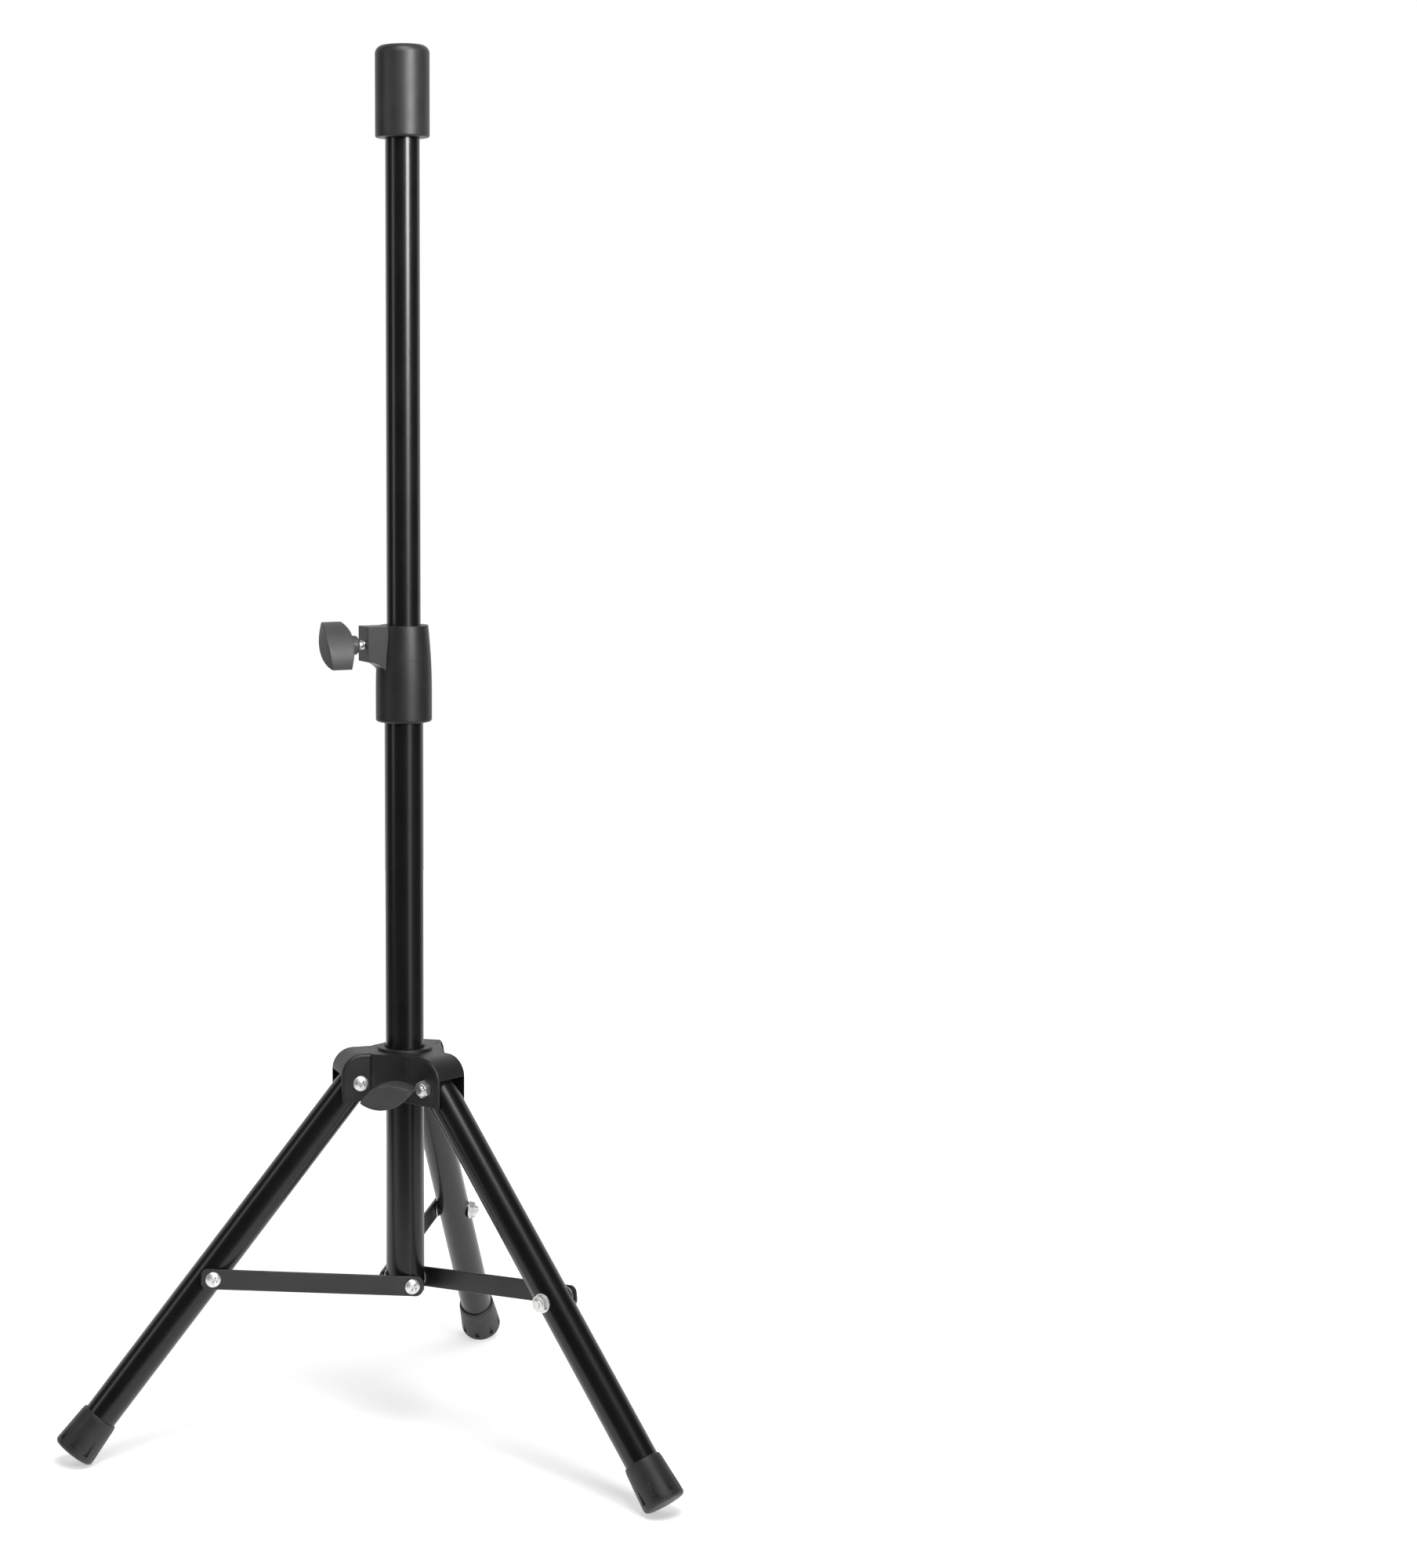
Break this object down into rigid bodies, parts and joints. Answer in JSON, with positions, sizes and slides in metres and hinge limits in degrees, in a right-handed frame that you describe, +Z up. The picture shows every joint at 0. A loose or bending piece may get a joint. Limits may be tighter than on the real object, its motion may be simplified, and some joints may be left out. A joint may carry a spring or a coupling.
{
  "type": "speaker tripod stand",
  "caption": "Folding speaker tripod: telescoping steel mast with a plain pole adapter, knob-clamped height collar, sliding leg hub with a second knob, braced tube legs and rubber feet.",
  "frame": {"origin": "on the floor, under the mast's axis, with the legs open", "axes": "+Z up along the mast; one leg points along +Y and the hub knob along -Y"},
  "size_m": [0.4136, 0.3652, 0.9149],
  "materials": {
    "enamelled_steel_tube": "semi-gloss black powder enamel",
    "enamelled_steel_strip": "satin black enamel",
    "moulded_plastic": "fine spark-eroded matte texture",
    "knob_plastic": "matte grey-black",
    "smooth_plastic": "satin black",
    "rubber": "matte moulded rubber",
    "zinc_plated_steel": "bright zinc plate"
  },
  "bodies": {
    "column": {"lower_tube": "enamelled_steel_tube", "lower_tube_end_plug": "smooth_plastic", "clamp_collar": "moulded_plastic", "clamp_insert_nut": "zinc_plated_steel", "clamp_pad": "smooth_plastic", "strut_screw_1": "zinc_plated_steel", "strut_screw_washer_1": "zinc_plated_steel", "strut_screw_2": "zinc_plated_steel", "strut_screw_washer_2": "zinc_plated_steel", "strut_screw_3": "zinc_plated_steel", "strut_screw_washer_3": "zinc_plated_steel"},
    "hub_carrier": {"hub": "moulded_plastic", "hub_insert_nut": "zinc_plated_steel", "hub_pad": "smooth_plastic", "hub_bolt_1": "zinc_plated_steel", "hub_nut_1": "zinc_plated_steel", "hub_bolt_2": "zinc_plated_steel", "hub_nut_2": "zinc_plated_steel", "hub_bolt_3": "zinc_plated_steel", "hub_nut_3": "zinc_plated_steel"},
    "mast": {"upper_tube": "enamelled_steel_tube", "upper_tube_guide": "smooth_plastic", "pole_adapter": "smooth_plastic"},
    "clamp_handle": {"clamp_knob": "knob_plastic", "clamp_screw": "zinc_plated_steel"},
    "hub_handle": {"hub_knob": "knob_plastic", "hub_screw": "zinc_plated_steel"},
    "leg_1": {"leg_tube_1": "enamelled_steel_tube", "leg_foot_1": "rubber", "strut_bolt_shank_1": "zinc_plated_steel", "strut_bolt_washer_1": "zinc_plated_steel", "strut_nut_washer_1": "zinc_plated_steel", "strut_nut_1": "zinc_plated_steel"},
    "strut_arm_1": {"strut_1": "enamelled_steel_strip", "strut_bolt_head_1": "zinc_plated_steel"},
    "leg_2": {"leg_tube_2": "enamelled_steel_tube", "leg_foot_2": "rubber", "strut_bolt_shank_2": "zinc_plated_steel", "strut_bolt_washer_2": "zinc_plated_steel", "strut_nut_washer_2": "zinc_plated_steel", "strut_nut_2": "zinc_plated_steel"},
    "strut_arm_2": {"strut_2": "enamelled_steel_strip", "strut_bolt_head_2": "zinc_plated_steel"},
    "leg_3": {"leg_tube_3": "enamelled_steel_tube", "leg_foot_3": "rubber", "strut_bolt_shank_3": "zinc_plated_steel", "strut_bolt_washer_3": "zinc_plated_steel", "strut_nut_washer_3": "zinc_plated_steel", "strut_nut_3": "zinc_plated_steel"},
    "strut_arm_3": {"strut_3": "enamelled_steel_strip", "strut_bolt_head_3": "zinc_plated_steel"}
  },
  "joints": [
    {"name": "hub_slide", "type": "slide", "parent": "column", "child": "hub_carrier", "axis": [0, 0, 1], "range_m": [0, 0.1502]},
    {"name": "mast_slide", "type": "slide", "parent": "column", "child": "mast", "axis": [0, 0, 1], "range_m": [-0.308, 0.035]},
    {"name": "clamp_knob_turn", "type": "hinge", "parent": "column", "child": "clamp_handle", "pos_m": [0, 0, 0.533], "axis": [-0.7986, -0.6018, 0], "continuous": true},
    {"name": "hub_knob_turn", "type": "hinge", "parent": "hub_carrier", "child": "hub_handle", "pos_m": [0, 0, 0.2424], "axis": [0, -1, 0], "continuous": true},
    {"name": "leg_fold_1", "type": "hinge", "parent": "hub_carrier", "child": "leg_1", "pos_m": [0.0036, 0.0329, 0.2443], "axis": [-1, 0, 0], "range_deg": [0, 36.81]},
    {"name": "strut_fold_1", "type": "hinge", "parent": "column", "child": "strut_arm_1", "pos_m": [0, 0, 0.106], "axis": [1, 0, 0], "range_deg": [0, 66.59]},
    {"name": "leg_fold_2", "type": "hinge", "parent": "hub_carrier", "child": "leg_2", "pos_m": [-0.03029, -0.01333, 0.2443], "axis": [0.5, -0.866, 0], "range_deg": [0, 36.81]},
    {"name": "strut_fold_2", "type": "hinge", "parent": "column", "child": "strut_arm_2", "pos_m": [0, 0, 0.106], "axis": [-0.5, 0.866, 0], "range_deg": [0, 66.59]},
    {"name": "leg_fold_3", "type": "hinge", "parent": "hub_carrier", "child": "leg_3", "pos_m": [0.02669, -0.01957, 0.2443], "axis": [0.5, 0.866, 0], "range_deg": [0, 36.81]},
    {"name": "strut_fold_3", "type": "hinge", "parent": "column", "child": "strut_arm_3", "pos_m": [0, 0, 0.106], "axis": [-0.5, -0.866, 0], "range_deg": [0, 66.59]}
  ],
  "couplings": [
    {"joint": "leg_fold_1", "follows": "hub_slide", "rad_per_m": 4.2762},
    {"joint": "strut_fold_1", "follows": "hub_slide", "rad_per_m": 7.7367},
    {"joint": "leg_fold_2", "follows": "hub_slide", "rad_per_m": 4.2762},
    {"joint": "strut_fold_2", "follows": "hub_slide", "rad_per_m": 7.7367},
    {"joint": "leg_fold_3", "follows": "hub_slide", "rad_per_m": 4.2762},
    {"joint": "strut_fold_3", "follows": "hub_slide", "rad_per_m": 7.7367}
  ]
}
